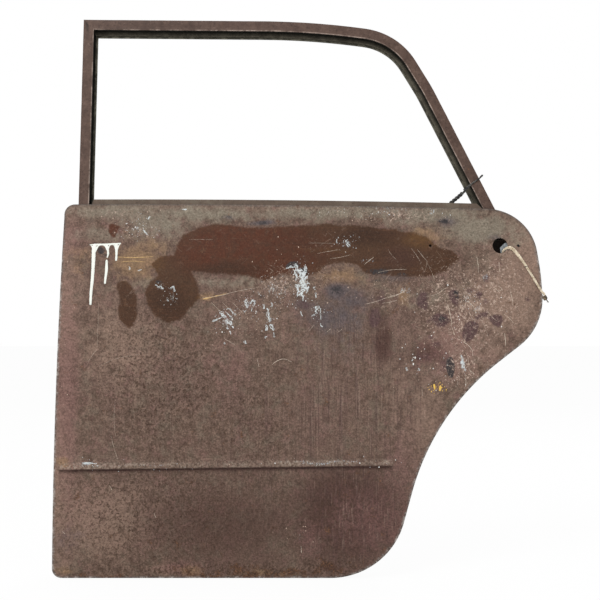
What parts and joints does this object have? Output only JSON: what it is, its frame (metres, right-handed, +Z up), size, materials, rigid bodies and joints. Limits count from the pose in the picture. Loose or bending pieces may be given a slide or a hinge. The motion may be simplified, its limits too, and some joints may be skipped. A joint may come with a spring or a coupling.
{
  "type": "vehicle rear door",
  "caption": "Rear door shell of an old saloon car, with a crowned outer skin cut away for the wheel, a framed window opening, pressed rails, an inner panel and a bare handle hole.",
  "frame": {"origin": "on the outer face of the hinge rail, midway between the two hinges and on the middle of the hinge face", "axes": "+Z up, +X rearwards from the hinges to the latch, -Y out of the car, so the outer skin faces -Y"},
  "size_m": [0.9849, 0.1143, 1.1221],
  "materials": {
    "outer_paint": "dull brown paint, rusted through in places",
    "frame_paint": "dull red-brown paint with rust at the edges",
    "inner_paint": "thin matt paint over light rust",
    "bare_steel": "grey primer with rust",
    "old_rubber": "perished, matt",
    "twine": "frayed straw-coloured twine",
    "wire": "dark and tarnished"
  },
  "bodies": {
    "root": {"outer_skin": "outer_paint", "hinge_rail": "inner_paint", "bottom_rail": "inner_paint", "wheel_arch_rail": "inner_paint", "lock_rail": "inner_paint", "inner_panel": "inner_paint", "outer_belt_rail": "bare_steel", "inner_belt_rail": "inner_paint", "front_post": "frame_paint", "header_rail": "frame_paint", "front_glass_run": "old_rubber", "header_glass_run": "old_rubber", "front_glass_guide": "bare_steel", "guide_bracket": "bare_steel", "upper_hinge_plate": "bare_steel", "lower_hinge_plate": "bare_steel", "check_plate": "bare_steel", "lock_reinforcement": "bare_steel", "front_post_bracket": "bare_steel", "rear_post_bracket": "bare_steel", "twine": "twine", "twine_knot": "twine", "tie_wire": "wire"}
  },
  "joints": []
}
